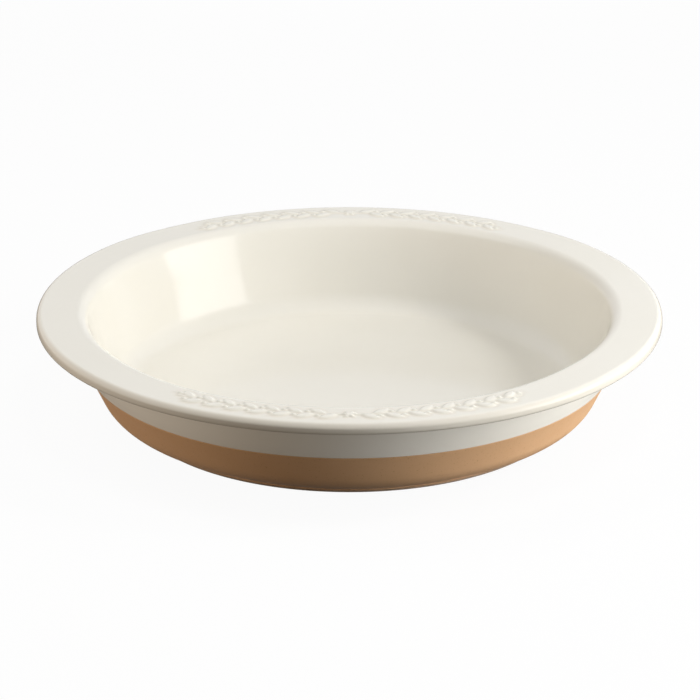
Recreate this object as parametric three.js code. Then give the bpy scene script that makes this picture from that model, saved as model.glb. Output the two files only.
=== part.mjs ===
// A round stoneware pie dish with a broad flat rim.
// The clay is one turned body. Three glaze coats lie on it: cream inside, over the rim and down the
// upper outside, cane on the lower outside, and cane again under the base. The foot ring is bare clay
// where it stands. The origin is the centre of the foot, on the surface below the dish, with +Z up.
import * as THREE from "three";

// Overall sizes of the finished dish, in millimetres
const rimDiameter = 260;
const dishHeight = 45.8;

// Rim of the clay
const rimThickness = 4.1;
const rimTopRound = 3.3;
const rimUnderRound = 0.3;
const mouthDiameter = 220; // where the line of the wall meets the flat top of the rim
const mouthRound = 4.6;

// Wall of the clay, which is straight inside and swells to a belly outside
const insideLean = THREE.MathUtils.degToRad(18); // from upright
const wallThickness = 4.75; // measured across, where the wall meets the underside of the rim
const shoulderRound = 3; // hollow between the wall and the underside of the rim
const upperLean = THREE.MathUtils.degToRad(12.2); // outside, above the belly
const bellyHeight = 24.5;
const bellyRound = 25;
const lowerLean = THREE.MathUtils.degToRad(24.8); // outside, from the belly to the heel
const heelHeight = 7.5;
const heelRound = 14;

// Floor and foot of the clay
const floorThickness = 5;
const floorRound = 11.5; // inside, between the floor and the wall
const footInset = 11.9; // how far the foot stands in from the heel
const footWidth = 6.5;
const footHeight = 1.5;
const footRound = 0.6;
const baseOverhang = 0.8; // how far the lowest edge of the wall stands out over the foot
const baseRound = 1.2;
const footHollowRound = 0.7; // between the foot and the wall above it
const recessHeight = 1.8; // of the hollow under the base, inside the foot ring
const recessRound = 1.4;
const footFlankLean = 1.1; // how far the foot's inner flank leans in over its height

// Glaze
const creamThickness = 0.45;
const caneThickness = 0.35;
const colourLineHeight = 23; // where cream meets cane on the outside
const bareFootHeight = 0.7; // the foot's flanks stay bare up to here
const glazeSeat = 0.05; // clearance under each coat, and between the cream and the cane

// Facets
const turnSegments = 48;
const facetSag = 0.12; // the most that a facet of a round cuts inside it

// Colours
const creamColour = 0xebe7dc;
const caneColour = 0xcda37a;
const clayColour = 0xd8c8ae;

// A corner of the section before it is rounded.
const corner = (radius, height, round = 0) => ({ point: new THREE.Vector2(radius, height), round });

// The direction square to a line of the section, on the side away from the clay.
function outward(from, to) {
  const along = to.clone().sub(from).normalize();
  return new THREE.Vector2(-along.y, along.x);
}

// How far the section turns at each corner: positive where the clay is hollow, negative where it bulges.
function cornerTurns(corners) {
  return corners.map(({ point }, i) => {
    if (i === 0 || i === corners.length - 1) return 0;
    const before = outward(corners[i - 1].point, point);
    const after = outward(point, corners[i + 1].point);
    return Math.atan2(before.cross(after), before.dot(after));
  });
}

// A round takes up its tangent length of the lines beside it. Where the rounds at the two ends of a
// line would take more than the line has, both are limited to their share of it.
function tangentLengths(corners, turns) {
  const wanted = corners.map(({ round }, i) => round * Math.tan(Math.abs(turns[i]) / 2));
  const lineShares = corners.slice(1).map(({ point }, line) => {
    const taken = wanted[line] + wanted[line + 1];
    return taken > 0 ? Math.min(1, corners[line].point.distanceTo(point) / taken) : 1;
  });
  return wanted.map((length, i) => length * Math.min(lineShares[i - 1] ?? 1, lineShares[i] ?? 1));
}

// Turns corners into stations along the rounded section. A station is a point on the clay with the
// direction out of the clay there, so that a coat is the same run moved along those directions.
function sectionRun(corners) {
  const turns = cornerTurns(corners);
  const lengths = tangentLengths(corners, turns);
  return corners.flatMap(({ point }, i) => {
    if (i === 0) return [{ point, normal: outward(point, corners[1].point) }];
    const arriving = outward(corners[i - 1].point, point);
    if (i === corners.length - 1) return [{ point, normal: arriving }];
    const radius = lengths[i] / Math.tan(turns[i] / 2); // takes the sign of the turn
    const back = corners[i - 1].point.clone().sub(point).normalize();
    const centre = point.clone().addScaledVector(back, lengths[i]).addScaledVector(arriving, radius);
    const facetTurn = 2 * Math.acos(1 - Math.min(1, facetSag / Math.abs(radius)));
    const steps = Math.ceil(Math.abs(turns[i]) / facetTurn);
    return Array.from({ length: steps + 1 }, (_, step) => {
      const normal = arriving.clone().rotateAround(new THREE.Vector2(), (turns[i] * step) / steps);
      return { point: centre.clone().addScaledVector(normal, -radius), normal };
    });
  });
}

// Adds a station where the run next passes a height after a station, and returns the new index.
function splitAtHeight(stations, height, after) {
  const above = ({ point }) => point.y > height;
  const next = stations.findIndex((_, i) => i > after && above(stations[i]) !== above(stations[i - 1]));
  const [from, to] = [stations[next - 1], stations[next]];
  const share = (height - from.point.y) / (to.point.y - from.point.y);
  const point = from.point.clone().lerp(to.point, share).setY(height);
  const normal = from.normal.clone().lerp(to.normal, share).normalize();
  stations.splice(next, 0, { point, normal });
  return next;
}

// The run of stations moved out of the clay by a distance.
const lifted = (stations, distance) =>
  stations.map(({ point, normal }) => point.clone().addScaledVector(normal, distance));

// Lines of the clay section, worked out from the sizes above
const creamLift = glazeSeat + creamThickness;
const rimRadius = rimDiameter / 2 - creamLift;
const rimTop = dishHeight - creamLift;
const rimUnderside = rimTop - rimThickness;
const mouthRadius = mouthDiameter / 2;
const floorHeight = recessHeight + floorThickness;
const insideRadius = (height) => mouthRadius - (rimTop - height) * Math.tan(insideLean);
const shoulderRadius = insideRadius(rimUnderside) + wallThickness;
const bellyRadius = shoulderRadius - (rimUnderside - bellyHeight) * Math.tan(upperLean);
const heelRadius = bellyRadius - (bellyHeight - heelHeight) * Math.tan(lowerLean);
const footRadius = heelRadius - footInset;
const footInnerRadius = footRadius - footWidth;

// The section starts on the axis inside the dish, goes out over the floor, up the wall, over the rim,
// down the outside and round the foot, and ends on the axis under the base.
const clay = sectionRun([
  corner(0, floorHeight),
  corner(insideRadius(floorHeight), floorHeight, floorRound),
  corner(mouthRadius, rimTop, mouthRound),
  corner(rimRadius, rimTop, rimTopRound),
  corner(rimRadius, rimUnderside, rimUnderRound),
  corner(shoulderRadius, rimUnderside, shoulderRound),
  corner(bellyRadius, bellyHeight, bellyRound),
  corner(heelRadius, heelHeight, heelRound),
  corner(footRadius + baseOverhang, footHeight, baseRound),
  corner(footRadius, footHeight, footHollowRound),
  corner(footRadius, 0, footRound),
  corner(footInnerRadius, 0, footRound),
  corner(footInnerRadius - footFlankLean, recessHeight, recessRound),
  corner(0, recessHeight),
]);

// Stations where one coat stops and the next begins, in the order in which the run meets them
const rimStation = clay.findIndex(({ point }) => point.y === Math.max(...clay.map((s) => s.point.y)));
const creamEnd = splitAtHeight(clay, colourLineHeight, rimStation);
const caneStart = splitAtHeight(clay, colourLineHeight - glazeSeat, creamEnd);
const caneEnd = splitAtHeight(clay, bareFootHeight, caneStart);
const baseStart = splitAtHeight(clay, bareFootHeight, caneEnd);

// A coat goes out along its own surface and comes back along its seat on the clay. Its section starts
// and ends on the axis where the coat reaches it, and otherwise closes on itself.
function coatSection(first, last, thickness) {
  const run = clay.slice(first, last + 1);
  const surface = lifted(run, glazeSeat + thickness);
  const seat = lifted(run, glazeSeat).reverse();
  if (run.at(-1).point.x === 0) return [...seat, ...surface];
  if (run[0].point.x === 0) return [...surface, ...seat];
  return [...surface, ...seat, surface[0].clone()];
}

// Turns a section round the axis. The lathe's faces point out when it meets the section from below.
function turnedPiece(name, section, color, roughness) {
  const geometry = new THREE.LatheGeometry(section.toReversed(), turnSegments);
  const mesh = new THREE.Mesh(geometry, new THREE.MeshStandardMaterial({ color, roughness, metalness: 0 }));
  mesh.name = name;
  return mesh;
}

const turned = new THREE.Group();
turned.rotation.x = Math.PI / 2; // the lathe turns about Y, and the dish stands on Z
turned.add(
  turnedPiece("stoneware_body", lifted(clay, 0), clayColour, 0.85),
  turnedPiece("cream_glaze", coatSection(0, creamEnd, creamThickness), creamColour, 0.12),
  turnedPiece("cane_glaze", coatSection(caneStart, caneEnd, caneThickness), caneColour, 0.35),
  turnedPiece("base_glaze", coatSection(baseStart, clay.length - 1, caneThickness), caneColour, 0.35),
);

const pieDish = new THREE.Group();
pieDish.name = "pie_dish";
pieDish.add(turned);

export default pieDish;
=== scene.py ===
# %% [markdown]
# # A stoneware pie dish
# This lesson dresses a round pie dish in Blender. The dish is one turned body of clay. A glossy cream
# glaze covers the inside, the rim and the upper outside. A cane-coloured glaze covers the lower outside
# and the base, and only the foot ring that the dish stands on is bare.
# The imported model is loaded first, because its box gives the sizes that every surface below keeps to.
# All lengths are metres. The origin is under the middle of the dish, +Z is up, and -Y is the front.

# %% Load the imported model
import bpy
import numpy as np
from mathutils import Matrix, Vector


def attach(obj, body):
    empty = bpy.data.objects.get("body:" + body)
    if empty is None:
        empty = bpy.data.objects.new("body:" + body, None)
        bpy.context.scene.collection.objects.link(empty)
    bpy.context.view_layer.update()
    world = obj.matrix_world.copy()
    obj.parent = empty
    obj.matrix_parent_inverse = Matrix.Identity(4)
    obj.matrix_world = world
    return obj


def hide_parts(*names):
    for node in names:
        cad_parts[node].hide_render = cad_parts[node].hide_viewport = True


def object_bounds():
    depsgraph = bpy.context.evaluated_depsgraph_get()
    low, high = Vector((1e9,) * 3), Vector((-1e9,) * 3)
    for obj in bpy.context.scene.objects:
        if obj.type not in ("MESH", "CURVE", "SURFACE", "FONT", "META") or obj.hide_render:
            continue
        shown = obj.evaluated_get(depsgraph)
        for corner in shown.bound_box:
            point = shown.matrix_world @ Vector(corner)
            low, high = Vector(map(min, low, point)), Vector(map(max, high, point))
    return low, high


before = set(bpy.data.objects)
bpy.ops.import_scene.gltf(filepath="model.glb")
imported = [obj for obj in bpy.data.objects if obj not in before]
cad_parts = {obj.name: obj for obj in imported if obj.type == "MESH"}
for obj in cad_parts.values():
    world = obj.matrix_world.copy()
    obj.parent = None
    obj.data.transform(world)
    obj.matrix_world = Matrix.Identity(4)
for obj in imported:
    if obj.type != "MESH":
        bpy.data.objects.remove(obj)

cad_low, cad_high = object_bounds()
print("packed model:", list(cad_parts), "box", list(cad_low), list(cad_high))

# %% [markdown]
# ## The section of the clay
# A dish like this can be jiggered: a shaped blade presses clay into a turning mould, so every cut through
# the axis shows the same section. It could be drawn as a curve and spun, but numbers that say what they are
# keep the wall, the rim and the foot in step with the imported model. The section is a list of sharp corners,
# each with the round that the blade or the sponge leaves there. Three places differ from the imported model:
# the inner wall is hollowed a little, the rim's edge has a tighter top and a rounder bottom, and the foot
# flares out slightly where it stands.

# %% Sizes of the section
MM = 0.001
GLAZE_SEAT = 0.05 * MM
CREAM_THICKNESS = 0.45 * MM
RIM_THICKNESS = 4.1 * MM
WALL_THICKNESS = 4.75 * MM
FLOOR_THICKNESS = 5 * MM
MOUTH_RADIUS = 110 * MM
BELLY_HEIGHT = 24.5 * MM
HEEL_HEIGHT = 7.5 * MM
FOOT_INSET = 11.9 * MM
FOOT_WIDTH = 6.5 * MM
RECESS_HEIGHT = 1.8 * MM
INSIDE_LEAN, UPPER_LEAN, LOWER_LEAN = np.radians((18, 12.2, 24.8))


def wall_in(drop, lean):
    """How far a wall that leans comes in over a drop: the drop times the tangent of the lean."""
    return drop * np.tan(lean)


rim_radius = cad_high.x - GLAZE_SEAT - CREAM_THICKNESS
rim_top = cad_high.z - GLAZE_SEAT - CREAM_THICKNESS
rim_underside = rim_top - RIM_THICKNESS
floor_height = RECESS_HEIGHT + FLOOR_THICKNESS
floor_radius = MOUTH_RADIUS - wall_in(rim_top - floor_height, INSIDE_LEAN)
shoulder_radius = MOUTH_RADIUS - wall_in(RIM_THICKNESS, INSIDE_LEAN) + WALL_THICKNESS
belly_radius = shoulder_radius - wall_in(rim_underside - BELLY_HEIGHT, UPPER_LEAN)
heel_radius = belly_radius - wall_in(BELLY_HEIGHT - HEEL_HEIGHT, LOWER_LEAN)
foot_radius = heel_radius - FOOT_INSET
foot_inner_radius = foot_radius - FOOT_WIDTH
print("mouth", MOUTH_RADIUS, "m, floor at", floor_height, "m, foot", round(foot_radius, 4), "m")

# %% Corners of the section
HOLLOW_INSET = 6.1 * MM
HOLLOW_HEIGHT = 24 * MM
FOOT_HEIGHT = 1.75 * MM
FOOT_FLARE_ABOVE = 0.45 * MM
FOOT_FLARE_BELOW = 0.7 * MM
FOOT_FLANK_LEAN = 1.1 * MM

# Each corner is its radius, its height, its round, the steps round its arc and the rows on the line
# after it. They run from the axis inside the dish, over the rim, to the axis under the base.
clay_corners = np.array([
    (0, floor_height, 0, 0, 4),
    (floor_radius, floor_height, 11.5 * MM, 11, 2),
    (MOUTH_RADIUS - HOLLOW_INSET, HOLLOW_HEIGHT, 180 * MM, 6, 3),
    (MOUTH_RADIUS, rim_top, 4.6 * MM, 9, 32),
    (rim_radius, rim_top, 2.0 * MM, 8, 2),
    (rim_radius, rim_underside, 0.8 * MM, 6, 3),
    (shoulder_radius, rim_underside, 3 * MM, 6, 4),
    (belly_radius, BELLY_HEIGHT, 25 * MM, 6, 2),
    (heel_radius, HEEL_HEIGHT, 14 * MM, 10, 2),
    (foot_radius + FOOT_FLARE_ABOVE, FOOT_HEIGHT, 0.55 * MM, 5, 1),
    (foot_radius + FOOT_FLARE_BELOW, 0, 0.4 * MM, 5, 3),
    (foot_inner_radius, 0, 0.6 * MM, 5, 1),
    (foot_inner_radius - FOOT_FLANK_LEAN, RECESS_HEIGHT, 1.4 * MM, 5, 6),
    (0, RECESS_HEIGHT, 0, 0, 0),
])
print("section:", len(clay_corners), "corners")

# %% [markdown]
# ## Rounding the corners
# Blender's Bevel could round a drawn outline, but a coat of glaze also needs the direction out of the
# clay at every point, so that it can lie on the clay at an even thickness. The helper below gives both:
# points along the section, and the direction square to the surface at each.

# %% A rounded section with its directions
LENGTH, RADIUS, HEIGHT, OUT_RADIUS, OUT_HEIGHT = range(5)


def rounded_section(corners):
    """Rows of (length along, radius, height, outward radius part, outward height part).

    A corner that turns by an angle becomes an arc. It touches both lines at round * tan(angle / 2) from
    the corner, and each of its points is the arc's centre less the round times the outward direction.
    """
    points = corners[:, :2]
    lines = np.diff(points, axis=0)
    lines /= np.linalg.norm(lines, axis=1, keepdims=True)
    outward = np.column_stack((-lines[:, 1], lines[:, 0]))
    arcs = [np.hstack((points[0], outward[0]))[None]]
    for before, after, line, corner in zip(outward[:-1], outward[1:], lines[:-1], corners[1:-1]):
        point, arc_round, arc_steps = corner[:2], corner[2], int(corner[3])
        turn = np.arctan2(before[0] * after[1] - before[1] * after[0], before @ after)
        turned = turn * np.linspace(0, 1, arc_steps + 1)[:, None]
        direction = np.cos(turned) * before + np.sin(turned) * np.array((-before[1], before[0]))
        signed_round = np.sign(turn) * arc_round
        centre = point - line * arc_round * np.tan(abs(turn) / 2) + signed_round * before
        arcs.append(np.hstack((centre - signed_round * direction, direction)))
    arcs.append(np.hstack((points[-1], outward[-1]))[None])
    runs = [arcs[0]]
    for arc, next_arc, line_rows in zip(arcs[:-1], arcs[1:], corners[:-1, 4]):
        share = np.linspace(0, 1, int(line_rows) + 2)[1:-1, None]
        runs.append((1 - share) * arc[-1] + share * next_arc[0])
        runs.append(next_arc)
    stations = np.vstack(runs)
    steps = np.linalg.norm(np.diff(stations[:, :2], axis=0), axis=1)
    return np.column_stack((np.concatenate(([0], np.cumsum(steps))), stations))


clay_section = rounded_section(clay_corners)
print("rounded section:", len(clay_section), "rows,", round(clay_section[-1, LENGTH], 4), "m along")

# %% Finding places along the section
COLOUR_LINE_HEIGHT = 22.75 * MM
BARE_FOOT_HEIGHT = 0.7 * MM


def rows_at(lengths):
    """The section's rows at given lengths along it, each column read between its two neighbours."""
    known = clay_section[:, LENGTH]
    return np.column_stack([np.interp(lengths, known, column) for column in clay_section.T])


def length_at_height(height, first, last):
    """Length along at which the run between two row numbers passes a height.

    The run only falls or only rises, so it is sorted by height and read between two neighbours.
    """
    run = clay_section[first:last]
    run = run[np.argsort(run[:, HEIGHT], kind="stable")]
    return np.interp(height, run[:, HEIGHT], run[:, LENGTH])


widest_row = int(np.argmax(clay_section[:, RADIUS]))
lowest_row = int(np.argmin(clay_section[:, HEIGHT]))
colour_line = length_at_height(COLOUR_LINE_HEIGHT, widest_row, lowest_row)
bare_from = length_at_height(BARE_FOOT_HEIGHT, widest_row, lowest_row)
bare_to = length_at_height(BARE_FOOT_HEIGHT, lowest_row, len(clay_section))
print("colour line at", round(colour_line, 4), "m along")
print("bare foot from", round(bare_from, 4), "to", round(bare_to, 4), "m along")

# %% [markdown]
# ## The pressed garland on the rim
# A relief is pressed into the front and the back of the rim. It is a plain garland: two sprays of leaves
# with berries that grow from a small flower. Sculpting would do, but a relief that is a function of the
# place on the rim can be carried by the clay and by the glaze alike. The tops stay level with the rim, and
# the ground between and around them lies a little lower, so that they stand proud of it.

# %% Sizes of the garland
GARLAND_RADIUS = 119.6 * MM
GARLAND_REACH = 70 * MM
FIRST_LEAF = 4.5 * MM
LEAF_PITCH = 9 * MM
LEAF_LENGTH = 8.2 * MM
LEAF_HALF_WIDTH = 1.95 * MM
LEAF_LEAN = np.radians(33)
BERRY_AHEAD = 7.4 * MM
BERRY_OFF_STEM = 2.0 * MM
BERRY_RADIUS = 1.15 * MM
STEM_HALF_WIDTH = 0.4 * MM
FLOWER_RADIUS = 2.5 * MM
PETAL_SWELL = 0.7 * MM
PETAL_COUNT = 6

leaf_starts = np.arange(FIRST_LEAF, GARLAND_REACH - LEAF_LENGTH, LEAF_PITCH)
print("garland:", len(leaf_starts), "pairs of leaves each way from the flower")


# %% The garland as a distance
def leaf_distance(along, across):
    """Distance to a leaf that starts at the origin: the larger distance to two discs that overlap in it."""
    disc = (LEAF_LENGTH**2 / 4 + LEAF_HALF_WIDTH**2) / (2 * LEAF_HALF_WIDTH)
    return np.hypot(along - LEAF_LENGTH / 2, np.abs(across) + disc - LEAF_HALF_WIDTH) - disc


def garland_distance(angle, radius):
    """Distance on the rim to the nearest leaf, berry, stem or flower, negative inside it.

    The place is first unrolled into a length from the middle of the nearer garland and a height off its
    stem. Leaves and berries repeat by their pitch, on the two sides of the stem in turn. The flower is a
    disc whose radius swells and shrinks with the cosine of the angle times the number of petals.
    """
    middle = np.sign(np.sin(angle)) * np.pi / 2
    turned = np.arctan2(np.sin(angle - middle), np.cos(angle - middle))
    length = turned * GARLAND_RADIUS
    height = radius - GARLAND_RADIUS
    starts = leaf_starts + np.where(height > 0, 0, LEAF_PITCH / 2)[..., None]
    ahead = np.abs(length)[..., None] - starts
    off_stem = np.abs(height)[..., None]
    along = ahead * np.cos(LEAF_LEAN) + off_stem * np.sin(LEAF_LEAN)
    across = off_stem * np.cos(LEAF_LEAN) - ahead * np.sin(LEAF_LEAN)
    leaves = leaf_distance(along, across).min(axis=-1)
    berries = np.hypot(ahead - BERRY_AHEAD, off_stem - BERRY_OFF_STEM).min(axis=-1) - BERRY_RADIUS
    past_end = np.clip(np.abs(length) - GARLAND_REACH, 0, None)
    stem = np.hypot(past_end, height) - STEM_HALF_WIDTH
    petals = FLOWER_RADIUS + PETAL_SWELL * np.cos(PETAL_COUNT * np.arctan2(height, length))
    flower = np.hypot(length, height) - petals
    return np.minimum(np.minimum(leaves, berries), np.minimum(stem, flower))


print("distance at a flower's middle", float(garland_distance(np.pi / 2, np.array(GARLAND_RADIUS))))

# %% The ground beside the garland
STAMP_DEPTH = 0.6 * MM

# The sides of the relief fall between these distances to its outline, which are negative inside it.
RELIEF_LEVEL, RELIEF_FOOT = -0.85 * MM, 0.4 * MM

# The ground comes back up between these lengths past the ends of a garland.
GROUND_FULL, GROUND_GONE = 3 * MM, 45 * MM

# A row starts to sink, and sinks in full, at these depths under the top of the rim.
SINK_STARTS, SINK_FULL = 3 * MM, 0.2 * MM


def smooth_step(low, high, value):
    """Rises from 0 at low to 1 at high along 3x^2 - 2x^3, and stays flat outside."""
    share = np.clip((value - low) / (high - low), 0, 1)
    return share * share * (3 - 2 * share)


def stamped(angle, radius):
    """How far the rim's top sinks, from 0 to 1: full beside the relief and none on it.

    Past the ends of a garland the ground comes back up to the level of the rim, over a long way.
    """
    off_middle = np.abs(np.arctan2(np.cos(angle), np.abs(np.sin(angle)))) * GARLAND_RADIUS
    ground = smooth_step(GARLAND_REACH + GROUND_GONE, GARLAND_REACH + GROUND_FULL, off_middle)
    return ground * smooth_step(RELIEF_LEVEL, RELIEF_FOOT, garland_distance(angle, radius))


def sunk(radius, height, angles):
    """Rows whose height drops by the stamp's depth where they lie on the flat top of the rim."""
    on_top = smooth_step(rim_top - SINK_STARTS, rim_top - SINK_FULL, height)[:, None]
    return height[:, None] - STAMP_DEPTH * on_top * stamped(angles[None], radius[:, None])


print("the ground beside the garland lies", STAMP_DEPTH, "m lower")

# %% Columns round the dish
FINE_STEP, WIDE_STEP, GARLAND_MARGIN = np.radians((0.3, 1.5, 1))


def column_angles():
    """Angles round the axis: about a third of a degree apart along the two garlands, wider elsewhere."""
    half = GARLAND_REACH / GARLAND_RADIUS + GARLAND_MARGIN
    front, back = -np.pi / 2, np.pi / 2
    ends = (front - half, front + half, back - half, back + half, front - half + 2 * np.pi)
    steps = (FINE_STEP, WIDE_STEP, FINE_STEP, WIDE_STEP)
    return np.concatenate([
        np.linspace(start, end, int(np.ceil((end - start) / step)), endpoint=False)
        for start, end, step in zip(ends[:-1], ends[1:], steps)
    ])


columns = column_angles()
print("columns:", len(columns))

# %% [markdown]
# ## Turning a section into a mesh
# Blender's Spin and Screw would carry the section round, but then the relief would need a second step.
# Working the grid out as arrays lets every row and column have its own height, and it leaves a mesh whose
# poles are closed and whose faces point out without any merging afterwards.

# %% Mesh helpers
ON_AXIS = 1e-9


def turned_mesh(name, radius, height, angles):
    """Carries rows round the axis: a point is (radius * cos(angle), radius * sin(angle), height).

    Each row has one radius, and one height or a height for each angle. Rows that start and end on the axis
    are closed there by fans of triangles round one point each. Other rows close on themselves.
    """
    radius, height = np.broadcast_arrays(radius[:, None], height, np.zeros(len(angles)))[:2]
    has_poles = radius[0, 0] < ON_AXIS
    rings = slice(1, -1) if has_poles else slice(None)
    ring_radius, ring_height = radius[rings], height[rings]
    points = np.stack((ring_radius * np.cos(angles), ring_radius * np.sin(angles), ring_height), axis=-1)
    vertices = points.reshape(-1, 3)
    index = np.arange(ring_radius.size).reshape(ring_radius.shape)
    following = index if has_poles else np.vstack((index, index[:1]))
    near, far = following[:-1], following[1:]
    quads = np.stack((near, far, np.roll(far, -1, axis=1), np.roll(near, -1, axis=1)), axis=-1)
    faces = quads.reshape(-1, 4).tolist()
    if has_poles:
        first_pole = np.full(len(angles), len(vertices))
        last_pole = first_pole + 1
        vertices = np.vstack((vertices, (0, 0, height[0, 0]), (0, 0, height[-1, 0])))
        faces += np.column_stack((first_pole, index[0], np.roll(index[0], -1))).tolist()
        faces += np.column_stack((index[-1], last_pole, np.roll(index[-1], -1))).tolist()
    mesh = bpy.data.meshes.new(name)
    mesh.from_pydata(vertices.tolist(), [], faces)
    mesh.shade_smooth()
    return mesh


def set_attribute(mesh, name, values):
    """Gives each point of a mesh a number: the values for its first points, and 0 for the rest."""
    numbers = np.zeros(len(mesh.vertices))
    numbers[: values.size] = values.ravel()
    mesh.attributes.new(name, "FLOAT", "POINT").data.foreach_set("value", numbers)


def add_piece(mesh, node, material):
    """Adds a mesh as a piece that rides on the dish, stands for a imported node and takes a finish."""
    piece = bpy.data.objects.new(mesh.name, mesh)
    bpy.context.scene.collection.objects.link(piece)
    mesh.materials.append(material)
    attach(piece, "root")
    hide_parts(node)
    triangles = sum(len(face.vertices) - 2 for face in mesh.polygons)
    print(piece.name, "stands for", node, "with", triangles, "triangles")


print("helpers for meshes are ready")

# %% [markdown]
# ## Materials
# The finishes are fired glass over clay. A painted picture could carry their colour, but node patterns
# that read the piece's own Object coordinates have no seams and no fixed size. Values that are the same
# all over a surface are set on the shader itself, and only what varies comes through nodes.


# %% Material helpers
def new_material(name):
    """A node material that starts as one Principled shader. Returns it, its node tree and the shader."""
    material = bpy.data.materials.new(name)
    material.use_nodes = True
    return material, material.node_tree, material.node_tree.nodes["Principled BSDF"]


def feed(tree, socket, value):
    """Links a socket to another one, or sets it where the value is a colour or a number."""
    if isinstance(value, bpy.types.NodeSocket):
        tree.links.new(value, socket)
    elif isinstance(value, tuple):
        socket.default_value = (*value, 1)
    else:
        socket.default_value = value


def object_noise(tree, scale, detail):
    """A noise pattern on Object coordinates with features of about 1 / scale metres."""
    place = tree.nodes.new("ShaderNodeTexCoord")
    noise = tree.nodes.new("ShaderNodeTexNoise")
    noise.inputs["Scale"].default_value = scale
    noise.inputs["Detail"].default_value = detail
    tree.links.new(place.outputs["Object"], noise.inputs["Vector"])
    return noise.outputs["Fac"]


def mesh_attribute(tree, name):
    """The number that each point of the mesh has under a name, and 0 where the mesh has none."""
    node = tree.nodes.new("ShaderNodeAttribute")
    node.attribute_name = name
    return node.outputs["Fac"]


def ramp(tree, factor, low, high):
    """A colour ramp over a factor between two stops of (position, linear colour)."""
    node = tree.nodes.new("ShaderNodeValToRGB")
    tree.links.new(factor, node.inputs["Fac"])
    for element, (position, colour) in zip(node.color_ramp.elements, (low, high)):
        element.position = position
        element.color = (*colour, 1)
    return node.outputs["Color"]


def multiply_colours(tree, colour, other, factor):
    """Multiplies one colour by another, by a factor of 0 to 1."""
    node = tree.nodes.new("ShaderNodeMix")
    node.data_type = "RGBA"
    node.blend_type = "MULTIPLY"
    feed(tree, node.inputs["A"], colour)
    feed(tree, node.inputs["B"], other)
    feed(tree, node.inputs["Factor"], factor)
    return node.outputs["Result"]


print("helpers for colours and patterns are ready")

# %% More material helpers
NOISE_LOW, NOISE_HIGH = 0.3, 0.7


def spread(tree, noise, low, high):
    """Stretches the range in which noise mostly lies to a range from low to high."""
    node = tree.nodes.new("ShaderNodeMapRange")
    node.inputs["From Min"].default_value = NOISE_LOW
    node.inputs["From Max"].default_value = NOISE_HIGH
    node.inputs["To Min"].default_value = low
    node.inputs["To Max"].default_value = high
    tree.links.new(noise, node.inputs["Value"])
    return node.outputs["Result"]


def bump(tree, pattern, depth):
    """Turns a pattern into a bent surface direction, as if the pattern stood out by a depth in metres."""
    node = tree.nodes.new("ShaderNodeBump")
    node.inputs["Strength"].default_value = 1
    node.inputs["Distance"].default_value = depth
    tree.links.new(pattern, node.inputs["Height"])
    return node.outputs["Normal"]


print("helpers for roughness and bumps are ready")

# %% [markdown]
# ## Cream glaze
# The inside is a thick, glossy, opaque cream glaze. It is almost even, with a slow drift of tone where it
# ran thicker, and a faint waviness that breaks up its reflections. Beside the relief its colour is a little
# deeper: painted shade in the sunk ground, which also stands for glaze pooled there. On the edge of the rim
# it is darker, as painted shade. Both are attributes of the mesh, worked out with its shape.

# %% Cream glaze material
CREAM_DEEP = (0.880, 0.851, 0.766)
CREAM_PALE = (0.895, 0.868, 0.789)
# Painted shade: the cream is darkened in the sunk ground beside the garland, also standing for pooled glaze.
CREAM_RECESS_SHADE = (0.95, 0.93, 0.90)
# Painted shade: the cream is darkened on the edge of the rim.
CREAM_EDGE_SHADE = (0.82, 0.80, 0.77)

cream, tree, shader = new_material("cream_glaze")
tone = ramp(tree, object_noise(tree, scale=14, detail=3), (0.35, CREAM_DEEP), (0.65, CREAM_PALE))
# Painted shade beside the garland, which also stands for glaze pooled there.
tone = multiply_colours(tree, tone, CREAM_RECESS_SHADE, mesh_attribute(tree, "painted_shade"))
# Painted shade on the edge of the rim.
tone = multiply_colours(tree, tone, CREAM_EDGE_SHADE, mesh_attribute(tree, "rim_edge_shade"))
roughness = spread(tree, object_noise(tree, scale=60, detail=2), low=0.09, high=0.14)
waviness = bump(tree, object_noise(tree, scale=110, detail=2), depth=0.04 * MM)
tree.links.new(tone, shader.inputs["Base Color"])
tree.links.new(roughness, shader.inputs["Roughness"])
tree.links.new(waviness, shader.inputs["Normal"])
shader.inputs["IOR"].default_value = 1.5
print("material", cream.name)

# %% [markdown]
# ## Cane glaze
# The lower outside is a thinner glaze the colour of cane. It is less glossy than the cream, because the
# clay's grain shows through it, and it carries fine darker specks of iron from the clay. Low on the foot it
# is darker and cooler, as painted shade where the dish meets the floor, which is again an attribute of the
# mesh.

# %% Cane glaze material
CANE_DEEP = (0.722, 0.440, 0.236)
CANE_PALE = (0.772, 0.478, 0.264)
# Painted shade: the cane is darker and cooler low on the foot, where the dish meets the floor.
CANE_FOOT_SHADE = (0.70, 0.70, 0.76)
IRON_SPECK = (0.55, 0.45, 0.36)
SPECK_SHARE = 0.5
UNTINTED = (1, 1, 1)

cane, tree, shader = new_material("cane_glaze")
tone = ramp(tree, object_noise(tree, scale=30, detail=4), (0.3, CANE_DEEP), (0.7, CANE_PALE))
specks = ramp(tree, object_noise(tree, scale=1500, detail=1), (0.22, IRON_SPECK), (0.34, UNTINTED))
tone = multiply_colours(tree, tone, specks, SPECK_SHARE)
# Painted shade low on the foot.
tone = multiply_colours(tree, tone, CANE_FOOT_SHADE, mesh_attribute(tree, "painted_shade"))
roughness = spread(tree, object_noise(tree, scale=300, detail=2), low=0.42, high=0.52)
grain = bump(tree, object_noise(tree, scale=900, detail=2), depth=0.03 * MM)
tree.links.new(tone, shader.inputs["Base Color"])
tree.links.new(roughness, shader.inputs["Roughness"])
tree.links.new(grain, shader.inputs["Normal"])
shader.inputs["IOR"].default_value = 1.45
shader.inputs["Specular IOR Level"].default_value = 0.25
print("material", cane.name)

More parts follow.
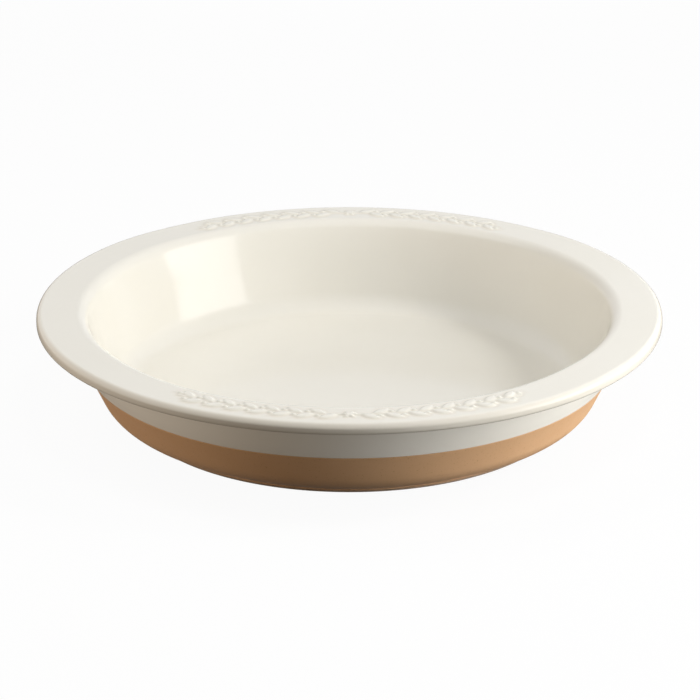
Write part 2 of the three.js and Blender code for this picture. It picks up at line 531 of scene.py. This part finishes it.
# %% [markdown]
# ## Bare clay
# The foot ring is wiped clean before the firing, so that the dish doesn't stick to the kiln shelf. What
# shows is dry, matt stoneware with fine sand in it. Its colour is the clay's own, darkened as painted shade
# under the dish. A picture of clay would need seams on a turned form, so the sand is noise too.

# %% Bare clay material
# The clay's own colour, darkened as painted shade on the foot under the dish.
SHADED_CLAY_DEEP = (0.33, 0.24, 0.17)
SHADED_CLAY_PALE = (0.39, 0.29, 0.21)
DARK_SAND = (0.7, 0.62, 0.52)
SAND_SHARE = 0.6

bare_clay, tree, shader = new_material("bare_clay")
tone = ramp(tree, object_noise(tree, scale=60, detail=4), (0.3, SHADED_CLAY_DEEP), (0.7, SHADED_CLAY_PALE))
sand = ramp(tree, object_noise(tree, scale=1100, detail=2), (0.3, DARK_SAND), (0.45, UNTINTED))
tone = multiply_colours(tree, tone, sand, SAND_SHARE)
grit = bump(tree, object_noise(tree, scale=1400, detail=3), depth=0.12 * MM)
tree.links.new(tone, shader.inputs["Base Color"])
tree.links.new(grit, shader.inputs["Normal"])
shader.inputs["Roughness"].default_value = 0.85
print("material", bare_clay.name)

# %% [markdown]
# ## The stoneware body
# The clay itself is almost wholly covered, but it is modelled whole, because the glaze lies on it and the
# foot ring shows it. It carries the stamped relief, which the glaze over it then follows.

# %% Stoneware body
clay_radius, clay_height = clay_section[:, RADIUS], clay_section[:, HEIGHT]
body_mesh = turned_mesh("turned_clay_body", clay_radius, sunk(clay_radius, clay_height, columns), columns)
add_piece(body_mesh, "stoneware_body", bare_clay)

# %% [markdown]
# ## Coats of glaze
# A coat follows the clay at an even thickness and ends in a soft edge, where surface tension draws the
# molten glass into a slight roll. A Solidify modifier would give the thickness but not the rolled edge, so
# each coat is worked out as its outer surface, its edge, and its seat on the clay.

# %% The profile of a coat
# A coat has rows at these distances from an open edge, closer where its surface bends most.
EDGE_ROWS = np.array((0, 0.02, 0.06, 0.14, 0.28, 0.5, 0.8, 1.2, 1.8, 2.6)) * MM
EDGE_RISE = 0.5 * MM
ROLL_REACH = 1.3 * MM
LEAST_GAP = 0.1 * MM
SEAT_STRIDE = 3


def coat_rows(start, end, thickness, edge_roll):
    """The clay's rows under a coat between two lengths along, and how thick the coat is at each.

    From an open edge the thickness rises along a quarter circle, from 0 to 1 times the whole. A roll is added
    to it: edge_roll * rise * exp(-x^2), where x is the distance from the edge over the roll's reach.
    """
    open_start, open_end = start > 0, end < clay_section[-1, LENGTH]
    near_start = start + EDGE_ROWS if open_start else np.array((start,))
    near_end = end - EDGE_ROWS[::-1] if open_end else np.array((end,))
    between = clay_section[:, LENGTH]
    between = between[(between > near_start[-1] + LEAST_GAP) & (between < near_end[0] - LEAST_GAP)]
    lengths = np.concatenate((near_start, between, near_end))
    from_start = lengths - start if open_start else np.inf
    from_end = end - lengths if open_end else np.inf
    from_edge = np.minimum(from_start, from_end)
    rise = np.sqrt(1 - np.clip(1 - from_edge / EDGE_RISE, 0, 1) ** 2)
    roll = edge_roll * rise * np.exp(-((from_edge / ROLL_REACH) ** 2))
    return rows_at(lengths), thickness * rise + roll


def lifted(rows, lift):
    """Radius and height of the clay's rows, moved out of the clay by a lift along their directions."""
    radius = rows[:, RADIUS] + rows[:, OUT_RADIUS] * lift
    height = rows[:, HEIGHT] + rows[:, OUT_HEIGHT] * lift
    return np.column_stack((radius, height))


def coat_profile(start, end, thickness, edge_roll=0):
    """Radius and height of a coat's outer rows, and of its seat on the clay, which runs the other way.

    The seat is hidden, so it takes only the two end rows and every third row between.
    """
    rows, coat = coat_rows(start, end, thickness, edge_roll)
    chosen = np.unique(np.append(np.arange(0, len(rows), SEAT_STRIDE), len(rows) - 1))
    return lifted(rows, GLAZE_SEAT + coat), lifted(rows[chosen][::-1], GLAZE_SEAT)


print("a coat's edge has", len(EDGE_ROWS), "rows over", EDGE_ROWS[-1], "m")

# %% [markdown]
# ## The cream coat
# The cream is one coat from the middle of the floor, up the inside and over the rim, to the colour line
# outside. A displacement could give it the relief, but the same function as in the clay keeps the two in
# step. The places of painted shade, beside the garland and on the rim's edge, are worked out here too, for
# the material.

# %% Cream glaze coat
EDGE_ROLL = 0.15 * MM

# Painted shade lies within these distances to the garland, where it also stands for pooled glaze, and
# within these of the rim's edge.
RECESS_SHADE_ENDS, RECESS_SHADE_FULL = 2.2 * MM, 0.4 * MM
EDGE_SHADE_STARTS, EDGE_SHADE_FULL = 2.0 * MM, 0.2 * MM

outer, seat = coat_profile(0, colour_line, CREAM_THICKNESS, EDGE_ROLL)
cream_radius, cream_height = np.vstack((outer, seat)).T
sunk_height = sunk(cream_radius, cream_height, columns)
cream_mesh = turned_mesh("cream_glaze_coat", cream_radius, sunk_height, columns)

# The first outer row is one point on the axis, so the rings start at the second.
ring_radius, ring_height = outer[1:, :1], outer[1:, 1:]
# Painted shade in the sunk ground beside the garland, also standing for glaze pooled there.
beside = smooth_step(RECESS_SHADE_ENDS, RECESS_SHADE_FULL, garland_distance(columns[None], ring_radius))
painted_shade = beside * stamped(columns[None], ring_radius) * (ring_height > rim_top)
# Painted shade on the edge of the rim.
rim_edge_shade = smooth_step(rim_radius - EDGE_SHADE_STARTS, rim_radius - EDGE_SHADE_FULL, ring_radius)
set_attribute(cream_mesh, "painted_shade", painted_shade)
set_attribute(cream_mesh, "rim_edge_shade", np.repeat(rim_edge_shade, len(columns), axis=1))
add_piece(cream_mesh, "cream_glaze", cream)

# %% [markdown]
# ## The cane coats
# The cane glaze covers the outside below the colour line and the recess under the base. The bare foot
# parts the two, so they are two pieces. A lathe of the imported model's facets would do for them, but finer
# rows give them the same soft edge as the cream. They carry no relief and need fewer columns.

# %% Cane glaze coat
CANE_THICKNESS = 0.35 * MM
CANE_COLUMNS = 400

# The cane is darkened under these heights, as painted shade where the dish meets the floor.
FOOT_SHADE_STARTS, FOOT_SHADE_FULL = 1.5 * MM, 1.1 * MM

cane_columns = np.linspace(0, 2 * np.pi, CANE_COLUMNS, endpoint=False)
outer, seat = coat_profile(colour_line + GLAZE_SEAT, bare_from, CANE_THICKNESS)
cane_radius, cane_height = np.vstack((outer, seat)).T
cane_mesh = turned_mesh("cane_glaze_coat", cane_radius, cane_height[:, None], cane_columns)
# Painted shade low on the foot, where the dish meets the floor.
painted_shade = smooth_step(FOOT_SHADE_STARTS, FOOT_SHADE_FULL, outer[:, 1:])
set_attribute(cane_mesh, "painted_shade", np.repeat(painted_shade, CANE_COLUMNS, axis=1))
add_piece(cane_mesh, "cane_glaze", cane)

# %% Base glaze coat
# This coat ends on the axis, so its seat comes first.
outer, seat = coat_profile(bare_to, clay_section[-1, LENGTH], CANE_THICKNESS)
base_radius, base_height = np.vstack((seat, outer)).T
base_mesh = turned_mesh("base_glaze_coat", base_radius, base_height[:, None], cane_columns)
add_piece(base_mesh, "base_glaze", cane)

# %% [markdown]
# ## Floor and background
# The dish stands on a plain sheet of paper in front of a white background. A floor of pure light would lose
# the shadow, and a white floor would throw too much light up at the outside of the dish. So the paper is a
# dark, warm grey in the light that it throws back, and white, with its shadow, for the camera. What the
# glaze mirrors lies between the two.


# %% Shader helpers
def mix_shaders(tree, first, second, factor):
    """Mixes two shaders: the first at a factor of 0 and the second at 1."""
    node = tree.nodes.new("ShaderNodeMixShader")
    tree.links.new(first, node.inputs[1])
    tree.links.new(second, node.inputs[2])
    feed(tree, node.inputs["Fac"], factor)
    return node.outputs["Shader"]


def ray_is(tree, *kinds):
    """A socket that is 1 for a ray of any of the kinds, and 0 for others: the largest of their sockets."""
    path = tree.nodes.new("ShaderNodeLightPath")
    found, *others = [path.outputs[f"Is {kind} Ray"] for kind in kinds]
    for other in others:
        node = tree.nodes.new("ShaderNodeMath")
        node.operation = "MAXIMUM"
        tree.links.new(found, node.inputs[0])
        tree.links.new(other, node.inputs[1])
        found = node.outputs[0]
    return found


def paper(tree, colour):
    """A matt paper of one colour."""
    node = tree.nodes.new("ShaderNodeBsdfDiffuse")
    node.inputs["Color"].default_value = (*colour, 1)
    return node.outputs["BSDF"]


def white_glow(tree):
    """Light of strength 1 that a surface gives off by itself, which the camera sees as white."""
    node = tree.nodes.new("ShaderNodeEmission")
    node.inputs["Color"].default_value = (1, 1, 1, 1)
    node.inputs["Strength"].default_value = 1
    return node.outputs["Emission"]


print("helpers for shaders are ready")

# %% Floor
THROWN_BACK = (0.07, 0.058, 0.046)
SEEN_PAPER = (0.9, 0.9, 0.9)
MIRRORED_GLOW = 0.15
SEEN_GLOW = 0.95
FLOOR_HALF = 4
FLOOR_DROP = 0.2 * MM

floor_paper = bpy.data.materials.new("floor_paper")
floor_paper.use_nodes = True
tree = floor_paper.node_tree
tree.nodes.clear()
white = white_glow(tree)
thrown_back = paper(tree, THROWN_BACK)
mirrored = mix_shaders(tree, thrown_back, white, MIRRORED_GLOW)
seen = mix_shaders(tree, paper(tree, SEEN_PAPER), white, SEEN_GLOW)
unseen = mix_shaders(tree, thrown_back, mirrored, ray_is(tree, "Glossy", "Transmission"))
surface = mix_shaders(tree, unseen, seen, ray_is(tree, "Camera"))
tree.links.new(surface, tree.nodes.new("ShaderNodeOutputMaterial").inputs["Surface"])

floor_corners = FLOOR_HALF * np.array(((-1, -1, 0), (1, -1, 0), (1, 1, 0), (-1, 1, 0)))
floor_mesh = bpy.data.meshes.new("floor")
floor_mesh.from_pydata((floor_corners - (0, 0, FLOOR_DROP)).tolist(), [], [(0, 1, 2, 3)])
floor_mesh.materials.append(floor_paper)
floor = bpy.data.objects.new("floor", floor_mesh)
bpy.context.scene.collection.objects.link(floor)
print("floor", 2 * FLOOR_HALF, "m square")

# %% [markdown]
# ## World
# The studio round the dish is white where the camera or the glaze sees it. A white world would also fill
# every shadow, so in the light that it gives it is only a faint warm glow.

# %% World
WHITE = (1, 1, 1)
FAINT_WARM = (1, 0.86, 0.70)
FAINT_STRENGTH = 0.03


def sky(tree, colour, strength):
    """An even background of one colour."""
    node = tree.nodes.new("ShaderNodeBackground")
    node.inputs["Color"].default_value = (*colour, 1)
    node.inputs["Strength"].default_value = strength
    return node.outputs["Background"]


world = bpy.data.worlds.new("studio")
bpy.context.scene.world = world
world.use_nodes = True
tree = world.node_tree
tree.nodes.clear()
shown = ray_is(tree, "Camera", "Glossy", "Transmission")
surface = mix_shaders(tree, sky(tree, FAINT_WARM, FAINT_STRENGTH), sky(tree, WHITE, 1), shown)
tree.links.new(surface, tree.nodes.new("ShaderNodeOutputWorld").inputs["Surface"])
print("world: white where it is seen, dim in the light that it gives")

# %% [markdown]
# ## Studio lights
# The dish is lit as on a product table. A large softbox on the right is the key, and it alone is mirrored
# in the glaze, as a soft white patch on the inner wall. A panel behind it adds to its light but not to the
# patch. Umbrellas high up light the floor of the dish and its rim. Low strips, level with the wall, light
# the outside under the rim without reaching the inside. On the left the low lamps are weaker and warmer, so
# the front of the wall falls into shade.

# %% Softboxes
LAMP_TARGET = (0, 0, 0.03)
WARM = (1, 0.86, 0.73)


def facing(place, target):
    """The turn that points a lamp or a camera, which look along their own -Z, from a place at a target."""
    return (Vector(target) - Vector(place)).to_track_quat("-Z", "Y").to_euler()


def softbox(name, place, width, height, power, colour=WHITE, mirrored=False):
    """A rectangular area lamp that faces the dish and may show in its reflections."""
    lamp = bpy.data.lights.new(name, "AREA")
    lamp.shape = "RECTANGLE"
    lamp.size = width
    lamp.size_y = height
    lamp.energy = power
    lamp.color = colour
    holder = bpy.data.objects.new(name, lamp)
    holder.location = place
    holder.rotation_euler = facing(place, LAMP_TARGET)
    holder.visible_glossy = mirrored
    bpy.context.scene.collection.objects.link(holder)
    print(name, width, "x", height, "m,", power, "W")


softbox("right_softbox", (0.82, -0.22, 0.30), 0.62, 0.46, 2.6, mirrored=True)
softbox("right_panel", (0.87, -0.233, 0.315), 0.65, 0.48, 1.9)
softbox("right_strip", (0.79, -0.22, 0.026), 0.50, 0.040, 3.9)
softbox("right_umbrella", (0.79, -0.14, 0.65), 0.20, 0.20, 3.3)
softbox("front_umbrella", (0.18, -0.36, 1.05), 0.30, 0.30, 2.7)
softbox("back_umbrella", (0.35, 0.75, 0.75), 0.40, 0.40, 0.9)
softbox("back_strip", (0.0, 0.85, 0.026), 0.50, 0.040, 1.5)
softbox("left_umbrella", (-0.60, 0.10, 0.85), 0.60, 0.60, 3.5)
softbox("left_softbox", (-0.95, -0.17, 0.14), 0.60, 0.22, 2.3, WARM)
softbox("left_strip", (-0.80, -0.25, 0.026), 0.50, 0.040, 1.1, WARM)

# %% [markdown]
# ## Camera
# The photograph is taken from about 21 degrees above the table with a long lens, so that the rim stays a
# near-perfect ellipse. The lens and distance below come from fitting that ellipse and the foot.

# %% Camera
CAMERA_PLACE = (0.00025, -1.2031, 0.4925)
CAMERA_TARGET = (0.00025, 0, 0.0251)
SENSOR_WIDTH_MM = 36
LENS_MM = 158.4

camera_data = bpy.data.cameras.new("camera")
camera_data.sensor_width = SENSOR_WIDTH_MM
camera_data.lens = LENS_MM
camera_data.dof.use_dof = False
camera = bpy.data.objects.new("camera", camera_data)
camera.location = CAMERA_PLACE
camera.rotation_euler = facing(CAMERA_PLACE, CAMERA_TARGET)
bpy.context.scene.collection.objects.link(camera)
bpy.context.scene.camera = camera
bpy.context.scene.view_settings.view_transform = "Standard"
print("camera at", list(camera.location), "lens", camera_data.lens, "mm")
